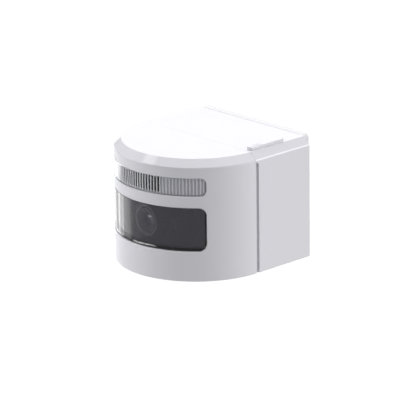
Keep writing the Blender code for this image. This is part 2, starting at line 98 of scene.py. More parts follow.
def make_camera():
    """A long lens that looks at the front corner from the object's right, a little from above."""
    right = Vector((math.cos(AZIMUTH), math.sin(AZIMUTH), 0))
    ahead = Vector((-math.sin(AZIMUTH), math.cos(AZIMUTH), 0))
    up = Vector((0, 0, 1)) * math.cos(ELEVATION) + ahead * math.sin(ELEVATION)
    forward = ahead * math.cos(ELEVATION) - Vector((0, 0, 1)) * math.sin(ELEVATION)
    aim = BASE + right * AIM_RIGHT + up * AIM_UP
    rolled_right = right * math.cos(ROLL) + up * math.sin(ROLL)
    rolled_up = up * math.cos(ROLL) - right * math.sin(ROLL)
    data = bpy.data.cameras.new("camera")
    data.lens = FOCAL
    data.sensor_width = 36
    data.clip_start, data.clip_end = 0.05, 20
    camera = bpy.data.objects.new("camera", data)
    bpy.context.scene.collection.objects.link(camera)
    facing = Matrix((rolled_right, rolled_up, -forward)).transposed().to_4x4()
    camera.matrix_world = Matrix.Translation(aim - forward * DISTANCE) @ facing
    bpy.context.scene.camera = camera


# ---------------------------------------------------------------- materials
def shader_of(name):
    made = bpy.data.materials.new(name)
    made.use_nodes = True
    tree = made.node_tree
    return made, tree, tree.nodes["Principled BSDF"]


def noise(tree, scale, detail=2.0, stretch=(1, 1, 1)):
    coords = tree.nodes.new("ShaderNodeTexCoord")
    mapping = tree.nodes.new("ShaderNodeMapping")
    mapping.inputs["Scale"].default_value = stretch
    texture = tree.nodes.new("ShaderNodeTexNoise")
    texture.inputs["Scale"].default_value = scale
    texture.inputs["Detail"].default_value = detail
    tree.links.new(coords.outputs["Object"], mapping.inputs["Vector"])
    tree.links.new(mapping.outputs["Vector"], texture.inputs["Vector"])
    return texture.outputs["Fac"]


def vary_roughness(tree, shader, value, low, high):
    """Roughness from low to high as the noise runs over most of its range."""
    span = tree.nodes.new("ShaderNodeMapRange")
    span.inputs["From Min"].default_value = 0.3
    span.inputs["From Max"].default_value = 0.7
    span.inputs["To Min"].default_value = low
    span.inputs["To Max"].default_value = high
    tree.links.new(value, span.inputs["Value"])
    tree.links.new(span.outputs["Result"], shader.inputs["Roughness"])


def vary_colour(tree, shader, value, colour, low, high=1.0):
    """The colour times low to high, no brighter than white."""
    mix = tree.nodes.new("ShaderNodeMix")
    mix.data_type = "RGBA"
    mix.inputs["A"].default_value = (*(c * low for c in colour), 1)
    mix.inputs["B"].default_value = (*(min(c * high, 1) for c in colour), 1)
    tree.links.new(value, mix.inputs["Factor"])
    tree.links.new(mix.outputs["Result"], shader.inputs["Base Color"])


def bump(tree, shader, value, depth):
    node = tree.nodes.new("ShaderNodeBump")
    node.inputs["Strength"].default_value = 1.0
    node.inputs["Distance"].default_value = depth
    tree.links.new(value, node.inputs["Height"])
    tree.links.new(node.outputs["Normal"], shader.inputs["Normal"])


def moulded(name, colour, roughness, grain=0.35 * MM, depth=0.004 * MM, mottle=0.015, sheen=0.5):
    """Moulded plastic or rubber: fine spark-eroded grain, slight mottling of colour and gloss."""
    made, tree, shader = shader_of(name)
    shader.inputs["Specular IOR Level"].default_value = sheen
    cloud = noise(tree, 45.0, 3.0)
    vary_colour(tree, shader, cloud, colour, 1 - mottle, 1 + mottle)
    vary_roughness(tree, shader, cloud, roughness * 0.93, roughness * 1.07)
    bump(tree, shader, noise(tree, 1 / grain), depth)
    return made


def metal(name, colour, roughness, stretch=(1, 1, 12)):
    """Machined or rolled metal with lines drawn one way."""
    made, tree, shader = shader_of(name)
    shader.inputs["Metallic"].default_value = 1.0
    lines = noise(tree, 900.0, 3.0, stretch)
    vary_colour(tree, shader, lines, colour, 0.86)
    vary_roughness(tree, shader, lines, roughness * 0.8, roughness * 1.3)
    bump(tree, shader, lines, 0.006 * MM)
    return made


def board(name, mask, track, roughness=0.35):
    """Circuit board: solder mask with raised tracks in right-angled runs."""
    made, tree, shader = shader_of(name)
    coords = tree.nodes.new("ShaderNodeTexCoord")
    brick = tree.nodes.new("ShaderNodeTexBrick")
    brick.inputs["Scale"].default_value = 260.0
    brick.inputs["Mortar Size"].default_value = 0.035
    brick.inputs["Color1"].default_value = (*mask, 1)
    brick.inputs["Color2"].default_value = (*(c * 0.8 for c in mask), 1)
    brick.inputs["Mortar"].default_value = (*track, 1)
    tree.links.new(coords.outputs["Object"], brick.inputs["Vector"])
    tree.links.new(brick.outputs["Color"], shader.inputs["Base Color"])
    vary_roughness(tree, shader, noise(tree, 300.0), roughness * 0.8, roughness * 1.2)
    bump(tree, shader, brick.outputs["Fac"], 0.03 * MM)
    return made


def pane(name, colour, roughness, ior, transmission=0.0, opacity=1.0, mottle=0.03):
    """Polished moulding or glass. A smoked one is mostly opaque, so what is behind it shows faintly."""
    made, tree, shader = shader_of(name)
    shader.inputs["IOR"].default_value = ior
    shader.inputs["Transmission Weight"].default_value = transmission
    shader.inputs["Alpha"].default_value = opacity
    cloud = noise(tree, 30.0)
    vary_colour(tree, shader, cloud, colour, 1 - mottle)
    vary_roughness(tree, shader, cloud, roughness * 0.8, roughness * 1.2)
    return made


POLISH = 0.0002 * MM  # bump depths of polished and of satin surfaces
SATIN = 0.001 * MM

WHITE = moulded("shell_plastic", (0.70, 0.695, 0.735), 0.5, sheen=0.03)
# the band's colour is darker than the walls': painted shade, so the upward-facing band comes out no brighter than the
# walls under the overhead light; it is also glossier
GLOSS_AND_SHADE = moulded("band_gloss_and_shade", (0.62, 0.615, 0.655), 0.08, depth=POLISH)
# lighter colour on the housing's rounded edge between wall and band: a painted highlight line
EDGE = moulded("edge_painted_highlight", (0.86, 0.855, 0.90), 0.2, depth=POLISH)
# dark grey on the inside of the shells: painted shade for the dim interior seen through the window and strip
INSIDE_SHADE = moulded("inside_painted_shade", (0.20, 0.20, 0.21), 0.6)
PLATE = moulded("plate_plastic", (0.66, 0.66, 0.68), 0.5, grain=0.5 * MM, depth=0.008 * MM, sheen=0.2)
BLACK = moulded("dark_plastic", (0.022, 0.022, 0.024), 0.42)
HOOD = moulded("hood_plastic", (0.13, 0.13, 0.14), 0.4)
SATIN_BLACK = moulded("ring_black", (0.010, 0.010, 0.011), 0.4)
IR_GREY = moulded("ir_window", (0.37, 0.37, 0.41), 0.4)
RUBBER = moulded("seal_rubber", (0.035, 0.035, 0.035), 0.75, grain=0.8 * MM, depth=0.02 * MM, mottle=0.06)
REFLECTOR = moulded("reflector_plastic", (0.62, 0.62, 0.64), 0.25)
BLUE = moulded("terminal_blue", (0.06, 0.14, 0.34), 0.4)
GREEN = board("circuit_green", (0.015, 0.12, 0.05), (0.05, 0.22, 0.09))
WHITE_BOARD = board("circuit_white", (0.72, 0.72, 0.72), (0.60, 0.60, 0.60))
STEEL = metal("steel", (0.62, 0.62, 0.64), 0.28)
ALUMINIUM = metal("aluminium", (0.76, 0.77, 0.78), 0.36, (12, 1, 1))
CLEAR = pane("clear_pane", (0.98, 0.98, 0.99), 0.06, 1.06, transmission=1.0)
SMOKED = pane("smoked_pane", (0.074, 0.072, 0.094), 0.02, 2.2, opacity=0.42, mottle=0.05)
# near-black on the window's rolled lower border and its ends: painted shade where the edge turns down away from the
# light
PANE_SHADE = pane("pane_border_shade", (0.012, 0.012, 0.014), 0.02, 1.5, opacity=0.97, mottle=0.05)
GLASS = pane("lens_glass", (0.60, 0.62, 0.70), 0.2, 1.35, transmission=1.0)
DIFFUSER = moulded("diffuser_sheet", (0.60, 0.60, 0.64), 0.6, depth=SATIN, sheen=0.03)
FLUTE = moulded("flute_white", (0.84, 0.84, 0.87), 0.4, depth=SATIN, sheen=0.03)
PHOSPHOR = moulded("led_phosphor", (0.85, 0.80, 0.52), 0.3, grain=0.15 * MM)

SHELL = [WHITE, INSIDE_SHADE, GLOSS_AND_SHADE, EDGE]
AT_WALL, AT_INSIDE, AT_BAND, AT_EDGE_HIGHLIGHT = range(4)  # places in SHELL


# ---------------------------------------------------------------- finished pieces
def attach(made, body, stands_for):
    """Let a piece ride on a body in place of CAD nodes."""
    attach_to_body(made, body)
    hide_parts(*stands_for)


def to_object(name, bm, finishes, angle=32):
    """Turn a bmesh in body coordinates into an object, creased where faces meet at more than the angle."""
    bmesh.ops.recalc_face_normals(bm, faces=bm.faces)
    mesh = bpy.data.meshes.new(name)
    bm.to_mesh(mesh)
    bm.free()
    for finish in finishes:
        mesh.materials.append(finish)
    mesh.shade_smooth()
    mesh.set_sharp_from_angle(angle=math.radians(angle))
    made = bpy.data.objects.new(name, mesh)
    bpy.context.scene.collection.objects.link(made)
    made.location = BASE
    return made


def weld(bm, reach=0.002 * MM):
    bmesh.ops.remove_doubles(bm, verts=bm.verts, dist=reach)


def even_shading(made):
    weighted = made.modifiers.new("shading", "WEIGHTED_NORMAL")
    weighted.keep_sharp = True


def soften(made, width, segments=2):
    """Round every edge sharper than 40 degrees."""
    bevel = made.modifiers.new("edges", "BEVEL")
    bevel.width = width
    bevel.segments = segments
    bevel.limit_method = "ANGLE"
    bevel.angle_limit = math.radians(40)
    even_shading(made)


def combine(target, others, operation):
    """Join or cut with solids that are then thrown away, and keep the result as plain mesh."""
    for other in others:
        boolean = target.modifiers.new("combine", "BOOLEAN")
        boolean.operation = operation
        boolean.object = other
    bpy.context.view_layer.update()
    graph = bpy.context.evaluated_depsgraph_get()
    mesh = bpy.data.meshes.new_from_object(target.evaluated_get(graph))
    target.modifiers.clear()
    spent = [target.data] + [other.data for other in others]
    target.data = mesh
    for other in others:
        bpy.data.objects.remove(other)
    for old in spent:
        bpy.data.meshes.remove(old)
    mesh.name = target.name


# ---------------------------------------------------------------- outlines and solids
def box_mesh(bm, low, high):
    made = bmesh.ops.create_cube(bm, size=1)
    size = Vector(high) - Vector(low)
    middle = (Vector(high) + Vector(low)) / 2
    bmesh.ops.transform(bm, matrix=Matrix.Translation(middle) @ Matrix.Diagonal((*size, 1)), verts=made["verts"])


def box_piece(name, low, high, finish):
    bm = bmesh.new()
    box_mesh(bm, low, high)
    weld(bm)
    return to_object(name, bm, [finish])


PRISM_POINT = {
    "X": lambda a, b, along: (along, a, b),
    "Y": lambda a, b, along: (a, along, b),
    "Z": lambda a, b, along: (a, b, along),
}


def prism_mesh(bm, outline, low, high, axis="Z"):
    """An outline raised from low to high along an axis: outlines are (x, y), (x, z) for Y, (y, z) for X."""
    first, second = ([bm.verts.new(PRISM_POINT[axis](a, b, along)) for a, b in outline] for along in (low, high))
    bm.faces.new(first)
    bm.faces.new(list(reversed(second)))
    count = len(outline)
    for i in range(count):
        j = (i + 1) % count
        bm.faces.new((first[j], first[i], second[i], second[j]))


def prism(name, outline, low, high, finishes, axis="Z"):
    bm = bmesh.new()
    prism_mesh(bm, outline, low, high, axis)
    weld(bm)
    return to_object(name, bm, finishes)


def cutter(outline, low, high, finishes, axis="Z"):
    return prism("cutter", outline, low, high, finishes, axis)


def arc(cx, cy, radius, start, stop, steps):
    """Points of an arc; angles in degrees."""
    turns = [math.radians(start + (stop - start) * i / steps) for i in range(steps + 1)]
    return [(cx + radius * math.cos(t), cy + radius * math.sin(t)) for t in turns]


def circle(cx, cy, radius, steps=48):
    return arc(cx, cy, radius, 0, 360, steps)[:-1]


def round_rect(cx, cy, half_x, half_y, corner):
    points = []
    for k, (sx, sy) in enumerate(((1, 1), (-1, 1), (-1, -1), (1, -1))):
        points += arc(cx + sx * (half_x - corner), cy + sy * (half_y - corner), corner, 90 * k, 90 * (k + 1), 6)
    return points


def turned(name, profile, at, finish, steps, closed=False):
    """Spin a (radius, height) profile round an axis along Y; heights run backwards from `at`."""
    bm = bmesh.new()
    place = Matrix.Translation(at) @ Matrix.Rotation(-math.pi / 2, 4, "X")
    rings = []
    for radius, height in profile:
        if radius == 0:
            rings.append([bm.verts.new(place @ Vector((0, 0, height)))])
            continue
        turns = [2 * math.pi * i / steps for i in range(steps)]
        points = [Vector((radius * math.cos(t), radius * math.sin(t), height)) for t in turns]
        rings.append([bm.verts.new(place @ point) for point in points])
    pairs = list(zip(rings, rings[1:]))
    if closed:
        pairs.append((rings[-1], rings[0]))
    for first, second in pairs:
        for i in range(steps):
            j = (i + 1) % steps
            corners = (first[i % len(first)], first[j % len(first)], second[j % len(second)], second[i % len(second)])
            face = list(dict.fromkeys(corners))
            if len(face) > 2:
                bm.faces.new(face)
    weld(bm)
    return to_object(name, bm, [finish])


# ---------------------------------------------------------------- panes and openings wrapped on the arc
class Patch:
    """A rounded rectangle wrapped on the front's arc; s is the distance along the arc at its outside."""

    def __init__(self, node, corner):
        low, high = body_box(node)
        self.half = math.asin(high.x / (RADIUS - SINK)) * RADIUS + GAP
        self.low = low.z - GAP
        self.high = high.z + GAP
        self.corner = corner
        self.flat = self.half - corner

    def at(self, s, grow, lip, upper):
        """Where column s, laid out at the outline grown by `lip`, meets the outline grown by `grow`."""
        drop = 0.0
        if abs(s) > self.flat:
            turn = math.asin(min((abs(s) - self.flat) / (self.corner + lip), 1))
            s = math.copysign(self.flat + (self.corner + grow) * math.sin(turn), s)
            drop = (self.corner + grow) * (1 - math.cos(turn))
        return s, self.high + grow - drop if upper else self.low - grow + drop

    def columns(self, lip, steps, bends=8):
        """Places along the arc: even steps over the straight edges, and closer round the corners."""
        ends = [self.flat + (self.corner + lip) * math.sin(math.pi / 2 * i / bends) for i in range(bends + 1)]
        middle = [-self.flat + 2 * self.flat * i / steps for i in range(1, steps)]
        return [-s for s in reversed(ends)] + middle + ends


WINDOW = Patch("window", 5.3 * MM)
STRIP = Patch("strip_lens", 4.1 * MM)
OPENING_END = max(WINDOW.half, STRIP.half) + LIP
PANE_STEPS = 48


def wrap(s, z, depth):
    turn = s / RADIUS
    radius = RADIUS - depth
    return Vector((radius * math.sin(turn), -radius * math.cos(turn), z))


def ladder(bm, lower, upper):
    for (a, b), (c, d) in zip(zip(lower, lower[1:]), zip(upper, upper[1:])):
        bm.faces.new((a, b, d, c))


def patch_ring(bm, patch, columns, lip, grow, depth):
    """The lower and the upper edge of a patch, as two chains with the same columns."""
    rows = [[patch.at(s, grow, lip, upper) for s in columns] for upper in (False, True)]
    return [[bm.verts.new(wrap(along, z, depth)) for along, z in row] for row in rows]


def loft(bm, rings):
    """Faces between patch rings that follow each other."""
    for (low_a, up_a), (low_b, up_b) in zip(rings, rings[1:]):
        ladder(bm, low_a, low_b)
        ladder(bm, up_a, up_b)
        for end in (0, -1):
            bm.faces.new((low_a[end], low_b[end], up_b[end], up_a[end]))


def pane_mesh(bm, patch, inner, roll, fall, steps):
    """A pane set in its opening: side from depth `inner`, edge rolling in over `roll` by `fall`, and two faces."""
    profile = [(-GAP, inner)]
    for i in range(steps + 1):
        turn = math.pi / 2 * i / steps
        profile.append((-GAP - roll * (1 - math.cos(turn)), SINK + fall * (1 - math.sin(turn))))
    columns = patch.columns(0, PANE_STEPS)
    rings = [patch_ring(bm, patch, columns, 0, grow, depth) for grow, depth in profile]
    loft(bm, rings)
    ladder(bm, *rings[0])
    ladder(bm, *rings[-1])
    return rings


# ---------------------------------------------------------------- outer profile, shared by cover and housing
def quarter(radius, steps):
    """A rounded corner, as pairs from (radius, 0) to (0, radius)."""
    turns = [math.pi / 2 * i / steps for i in range(steps + 1)]
    return [(radius * (1 - math.sin(t)), radius * (1 - math.cos(t))) for t in turns]


def bottom_profile():
    """(inset, z) from the underside out and up to the wall."""
    return quarter(BOTTOM_EDGE, 3)


def top_profile():
    """(inset, z) from the wall up: rounded edge, 45-degree band, rounded edge, top face."""
    reach = math.tan(math.radians(22.5))
    wall_top = HEIGHT - CHAMFER - BAND_EDGE * reach
    inset = CHAMFER + TOP_EDGE * reach
    points = []
    for i in range(6):
        turn = math.radians(45 * i / 5)
        points.append((BAND_EDGE * (1 - math.cos(turn)), wall_top + BAND_EDGE * math.sin(turn)))
    for i in range(4):
        turn = math.radians(45 + 45 * i / 3)
        points.append((inset - TOP_EDGE * math.cos(turn), HEIGHT - TOP_EDGE * (1 - math.sin(turn))))
    return points


def near_rim(centre):
    return centre.z > HEIGHT - CHAMFER - BAND_EDGE


def on_band(centre, normal):
    """Whether a face of the outside is on the bevelled band round the top rim, which is glossier than the walls and
    painted darker than them as shade.
    """
    return near_rim(centre) and 0.1 < abs(normal.z) < 0.85


def on_edge(centre, normal):
    """Whether a face is on the rounded edge between the wall and the band, where the housing gets a painted
    highlight.
    """
    return near_rim(centre) and 0.05 < abs(normal.z) < 0.65


# ---------------------------------------------------------------- front cover
def is_open(s):
    return abs(s) <= OPENING_END + 0.01 * MM


def cover_columns():
    """Where the cover's columns stand along the arc: close at the openings' corners, evenly spaced elsewhere."""
    even = 60
    margin = 0.5 * MM
    closest = 0.02 * MM
    places = {round(s, 7) for patch in (WINDOW, STRIP) for s in patch.columns(LIP, 2)}
    for i in range(even + 1):
        s = ARC_END * i / even
        if s < min(WINDOW.flat, STRIP.flat) - margin or s > WINDOW.half + LIP + margin:
            places.update((round(s, 7), round(-s, 7)))
    columns = []
    for s in sorted(places):
        if not columns or s - columns[-1] > closest:
            columns.append(s)
    return columns


def opening_rows(s, grow):
    """(along, z) of both openings' lower and upper edges at column s; past their ends the rows run on level."""
    held = max(min(s, OPENING_END), -OPENING_END)
    rows = []
    for patch in (WINDOW, STRIP):
        for upper in (False, True):
            along, z = patch.at(held, grow, LIP, upper)
            rows.append((along + s - held, z))
    return rows


def span(bm, chain, finish):
    """Flat strips from one half of a chain of corners across to the other."""
    for i in range(len(chain) // 2):
        j = len(chain) - 1 - i
        corners = list(dict.fromkeys((chain[i], chain[i + 1], chain[j - 1], chain[j])))
        if len(corners) > 2:
            bm.faces.new(corners).material_index = finish


def cover_skin(bm, columns, depth, grow, lower, upper, finish):
    """One skin of the cover, with its two openings, a floor and a top face; lower and upper are (inset, z) rows."""
    grid = []
    for s in columns:
        column = [bm.verts.new(wrap(s, z, inset)) for inset, z in lower]
        column += [bm.verts.new(wrap(along, z, depth)) for along, z in opening_rows(s, grow)]
        column += [bm.verts.new(wrap(s, z, inset)) for inset, z in upper]
        grid.append(column)
    openings = (len(lower), len(lower) + 2)
    for i in range(len(columns) - 1):
        first, second = grid[i], grid[i + 1]
        for k in range(len(first) - 1):
            if k in openings and is_open(columns[i]) and is_open(columns[i + 1]):
                continue
            bm.faces.new((first[k], second[k], second[k + 1], first[k + 1])).material_index = finish
    for row in (0, -1):
        span(bm, [column[row] for column in grid], finish)
    return grid


def front_cover():
    """Half-round shell, open at the back and at its two openings."""
    bm = bmesh.new()
    columns = cover_columns()
    inner_top = [(WALL, CEILING - INNER_CHAMFER), (WALL + INNER_CHAMFER, CEILING)]
    outer = cover_skin(bm, columns, 0.0, LIP, bottom_profile(), top_profile(), AT_WALL)
    # the inner skin takes the dark painted shade
    inner = cover_skin(bm, columns, WALL, 0.0, [(WALL, WALL)], inner_top, AT_INSIDE)
    open_columns = [s for s in columns if is_open(s)]
    for patch in (WINDOW, STRIP):
        profile = quarter(LIP, 4) + [(0.0, WALL)]
        loft(bm, [patch_ring(bm, patch, open_columns, LIP, grow, depth) for grow, depth in profile])
    for end in (0, -1):
        bm.faces.new(outer[end] + inner[end][::-1])
        bm.faces.new((outer[0][end], outer[-1][end], inner[-1][end], inner[0][end]))
    weld(bm, 0.003 * MM)
    bm.normal_update()
    # the band's faces take the darker, glossier finish: painted shade
    for face in bm.faces:
        if face.material_index == AT_WALL and on_band(face.calc_center_median(), face.normal):
            face.material_index = AT_BAND
    made = to_object("front_shell", bm, SHELL[:AT_EDGE_HIGHLIGHT], angle=40)
    attach(made, "front", ["front_cover"])
    even_shading(made)


def window_pane():
    """Smoked curved pane whose lower border rolls inwards, darkened there and along both ends as painted shade."""
    low_band, end_band, fade = 2.5 * MM, 1.0 * MM, 6.0 * MM
    bm = bmesh.new()
    rings = pane_mesh(bm, WINDOW, LENS_T + SINK, 3.0 * MM, 1.0 * MM, 6)
    for vert in [vert for lower, upper in rings[1:] for vert in lower + upper]:
        rise = min(max((vert.co.z - WINDOW.low) / fade, 0), 1)
        flat = Vector((vert.co.x, vert.co.y, 0))
        depth = (RADIUS - flat.length - SINK) * (1 - rise) + SINK
        vert.co -= flat.normalized() * (flat.length - RADIUS + depth)
    band = WINDOW.low + low_band
    everything = bm.verts[:] + bm.edges[:] + bm.faces[:]
    bmesh.ops.bisect_plane(bm, geom=everything, plane_co=(0, 0, band), plane_no=(0, 0, 1))
    for face in bm.faces:
        middle = face.calc_center_median()
        along = abs(math.atan2(middle.x, -middle.y)) * RADIUS
        # faces of the lower border and of the ends take the painted shade
        face.material_index = 1 if middle.z < band or along > WINDOW.half - end_band else 0
    weld(bm)
    made = to_object("window_pane", bm, [SMOKED, PANE_SHADE], angle=50)
    attach(made, "front", ["window"])
    even_shading(made)


# ---------------------------------------------------------------- light strip
def strip_lens():
    """Clear curved strip over the ribs."""
    bm = bmesh.new()
    pane_mesh(bm, STRIP, SKIN + SINK, 0.5 * MM, 0.5 * MM, 4)
    weld(bm)
    made = to_object("strip_lens_fine", bm, [CLEAR], angle=50)
    attach(made, "front", ["strip_lens"])
    even_shading(made)


def diffusers():
    """Thin white sheets behind the ribs, over the lights."""
    bm = bmesh.new()
    reach = [CLEAR_HALF] + [s for s in STRIP.columns(0, PANE_STEPS) if s > CLEAR_HALF + 0.1 * MM]
    for side in (-1, 1):
        columns = [side * s for s in reach]
        faces = [patch_ring(bm, STRIP, columns, 0, -GAP, depth) for depth in (LENS_T - 0.05 * MM, LENS_T + SINK)]
        loft(bm, faces)
        for lower, upper in faces:
            ladder(bm, lower, upper)
    weld(bm)
    made = to_object("lens_diffusers", bm, [DIFFUSER], angle=50)
    attach(made, "front", ["strip_lens"])


def flute_mesh(bm, s):
    """One rib at s along the arc, rounded inwards and narrowed at its ends."""
    front, back = SKIN + 0.13 * MM, LENS_T - 0.1 * MM
    taper, narrow = 0.3 * MM, 0.55
    bends = 6
    drop = 0.0
    if abs(s) > STRIP.flat:
        across = min((abs(s) - STRIP.flat + FLUTE_WIDTH / 2) / STRIP.corner, 1)
        drop = STRIP.corner * (1 - math.sqrt(1 - across**2))
    low = STRIP.low + 0.5 * MM + drop
    high = STRIP.high - 0.4 * MM - drop
    rows = []
    for z, width in ((low, narrow), (low + taper, 1.0), (high - taper, 1.0), (high, narrow)):
        half = FLUTE_WIDTH / 2 * width
        section = [(-half, front)]
        for k in range(bends + 1):
            turn = math.pi * k / bends
            bulge = (0.45 + 0.55 * math.sin(turn)) * width
            section.append((-half * math.cos(turn), front + (back - front) * bulge))
        section.append((half, front))
        rows.append([bm.verts.new(wrap(s + along, z, depth)) for along, depth in section])
    for lower, upper in zip(rows, rows[1:]):
        ladder(bm, lower, upper)
        bm.faces.new((lower[0], upper[0], upper[-1], lower[-1]))
    bm.faces.new(rows[0])
    bm.faces.new(rows[-1])


def flutes():
    """Upright light ribs on the inside of the strip lens."""
    bm = bmesh.new()
    count = int((STRIP.half - 1.0 * MM) / FLUTE_PITCH)
    for i in range(-count, count + 1):
        flute_mesh(bm, i * FLUTE_PITCH)
    made = to_object("lens_flutes", bm, [FLUTE], angle=50)
    attach(made, "front", ["strip_lens"])
    even_shading(made)


# ---------------------------------------------------------------- rear housing
HOUSING_LOW, HOUSING_HIGH = body_box("rear_housing")
HOUSING_FRONT = HOUSING_LOW.y - 0.2 * MM
HOUSING_BACK = HOUSING_HIGH.y


def mirrored(right):
    return right + [(-x, z) for x, z in reversed(right)]


def housing_outline():
    """The housing's section across its width, with the front cover's rounded band edges."""
    return mirrored([(RADIUS - inset, z) for inset, z in bottom_profile() + top_profile()])


def side_groove(side):
    """Cutter for the groove beside the seam, rounded at its top."""
    steps = 8
    straight = GROOVE_TOP - GROOVE_ROUND
    turns = [math.pi / 2 * i / steps for i in range(steps + 1)]
    bend = [(GROOVE_WIDTH * math.cos(t), straight + GROOVE_ROUND * math.sin(t)) for t in turns]
    outline = [(-OVER, -OVER), (GROOVE_WIDTH, -OVER), *bend, (-OVER, GROOVE_TOP)]
    low, high = sorted((side * (RADIUS - GROOVE_DEPTH), side * (RADIUS + OVER)))
    return cutter(outline, low, high, SHELL, "X")


def back_cutter(outline):
    return cutter(outline, HOUSING_BACK - WALL - OVER, HOUSING_BACK + OVER, SHELL, "Y")


def floor_cutter(outline):
    return cutter(outline, -OVER, WALL + OVER, SHELL)


def keyhole(stud):
    """Cutters for the slot round a stud's shank and the wide end its head goes through."""
    low, high = body_box(stud)
    x, z = (low.x + high.x) / 2, (low.z + high.z) / 2
    slot = round_rect(x, z - LIFT / 2, KEY_HALF_WIDTH, LIFT / 2 + KEY_HALF_WIDTH, 2.3 * MM)
    return [back_cutter(slot), back_cutter(circle(x, z - LIFT, 4.3 * MM))]


def latch_slot():
    """Cutter for the slot that the latch's stem runs in; the latch's bar covers it at both ends of its travel."""
    low, high = body_box("top_latch")
    front, back = low.y + 3.2 * MM, high.y - 0.5 * MM
    outline = round_rect((low.x + high.x) / 2, (front + back) / 2, 1.4 * MM, (back - front) / 2, 1.2 * MM)
    return cutter(outline, CEILING - OVER, HEIGHT + OVER, SHELL)


def card_hatch():
    low, high = body_box("card_door")
    middle, half = (low + high) / 2, (high - low) / 2
    return floor_cutter(round_rect(middle.x, middle.y, half.x + 0.5 * MM, half.y + 0.5 * MM, 0.8 * MM))


def housing_finish(centre, normal):
    margin = 0.1 * MM
    deep = abs(centre.x) < RADIUS - WALL + margin and centre.y < HOUSING_BACK - WALL + margin
    # faces inside the housing's cavity take the dark painted shade
    if deep and WALL - margin < centre.z < CEILING + margin:
        return AT_INSIDE
    # the rounded edge takes the lighter painted highlight
    if on_edge(centre, normal):
        return AT_EDGE_HIGHLIGHT
    # the band takes the darker painted shade
    return AT_BAND if on_band(centre, normal) else AT_WALL


def rear_housing():
    """Hollow shell behind the cover, with keyholes, latch slot, cable hole, card hatch and speaker slots."""
    shell = prism("rear_shell", housing_outline(), HOUSING_FRONT, HOUSING_BACK, SHELL, "Y")
    half = RADIUS - WALL
    cavity = mirrored([(half, WALL), (half, CEILING - INNER_CHAMFER), (half - INNER_CHAMFER, CEILING)])
    cutters = [cutter(cavity, HOUSING_FRONT - OVER, HOUSING_BACK - WALL, SHELL, "Y")]
    for side, stud in ((-1, "hang_stud_left"), (1, "hang_stud_right")):
        cutters += [side_groove(side), *keyhole(stud)]
    cutters.append(latch_slot())
    cutters.append(back_cutter(round_rect(0, CABLE_Z, 10 * MM, 11 * MM, 2 * MM)))
    cutters.append(card_hatch())
    for i in range(-2, 3):
        cutters.append(floor_cutter(round_rect(SPEAKER_X + i * 5 * MM, SPEAKER_Y, 1 * MM, 8 * MM, 0.95 * MM)))
    cutters.append(floor_cutter(circle(MICROPHONE_X, MICROPHONE_Y, 0.8 * MM, 24)))
    combine(shell, cutters, "DIFFERENCE")
    for face in shell.data.polygons:
        face.material_index = housing_finish(face.center, face.normal)
    attach(shell, "housing", ["rear_housing"])
    soften(shell, 0.3 * MM, 3)


# ---------------------------------------------------------------- wall side
def wall_plate():
    """Rounded plate with a cable hole, four screw slots and pockets in its back."""
    low, high = body_box("wall_plate")
    half = (high - low) / 2
    outline = round_rect(0, (low.z + high.z) / 2, half.x, half.z, 3 * MM)
    plate = prism("wall_plate_fine", outline, low.y, high.y, [PLATE], "Y")
    holes = [circle(0, CABLE_Z, 8 * MM, 64)]
    for x in (-36, 36):
        for z in (14, 72):
            holes.append(round_rect(x * MM, z * MM, 5 * MM, 2.5 * MM, 2.4 * MM))
    cutters = [cutter(hole, low.y - MM, high.y + MM, [PLATE], "Y") for hole in holes]
    combine(plate, cutters + [plate_pockets(high.y)], "DIFFERENCE")
    attach(plate, "wall", ["wall_plate"])
    soften(plate, 0.35 * MM)


def plate_pockets(back):
    """Weight-saving pockets in the wall side, between ribs, as one cutter."""
    depth = 2.5 * MM
    pockets = [(0, 60, 22, 13), (-35.5, 43, 9, 19), (35.5, 43, 9, 19), (-19, 14, 7, 7), (19, 14, 7, 7)]
    bm = bmesh.new()
    for x, z, half_width, half_height in pockets:
        outline = round_rect(x * MM, z * MM, half_width * MM, half_height * MM, 2 * MM)
        prism_mesh(bm, outline, back - depth, back + depth, "Y")
    weld(bm)
    return to_object("cutter", bm, [PLATE])


def hang_stud(side):
    """Turned stud: round head with a driver's recess, and a shank into the plate."""
    low, high = body_box(f"hang_stud_{side}")
    at = ((low.x + high.x) / 2, low.y, (low.z + high.z) / 2)
    head, thick, shank, length = 3.8 * MM, 2 * MM, 2.0 * MM, high.y - low.y
    edge, nick, tip = 0.6 * MM, 0.2 * MM, 0.3 * MM
    profile = [(0, 0.7 * MM), (1.3 * MM, 0.7 * MM), (1.5 * MM, 0)]
    profile += arc(head - edge, edge, edge, -90, 0, 4)
    profile += [(head, thick - nick), (head - nick, thick), (shank + nick, thick), (shank, thick + nick)]
    profile += [(shank, length - tip), (shank - tip, length), (0, length)]
    stud = turned(f"stud_{side}", profile, at, STEEL, 40)
    attach(stud, "wall", [f"hang_stud_{side}"])


def grommet():
    low, high = body_box("cable_grommet")
    outer, inner, length = (high.x - low.x) / 2, 5 * MM, high.y - low.y
    bead = 0.9 * MM
    profile = arc(outer - bead, length - bead, bead, 90, 0, 5) + arc(outer - bead, bead, bead, 0, -90, 5)
    profile += arc(inner + bead, bead, bead, 270, 180, 5) + arc(inner + bead, length - bead, bead, 180, 90, 5)
    made = turned("grommet", profile, (0, low.y, (low.z + high.z) / 2), RUBBER, 64, closed=True)
    attach(made, "wall", ["cable_grommet"])


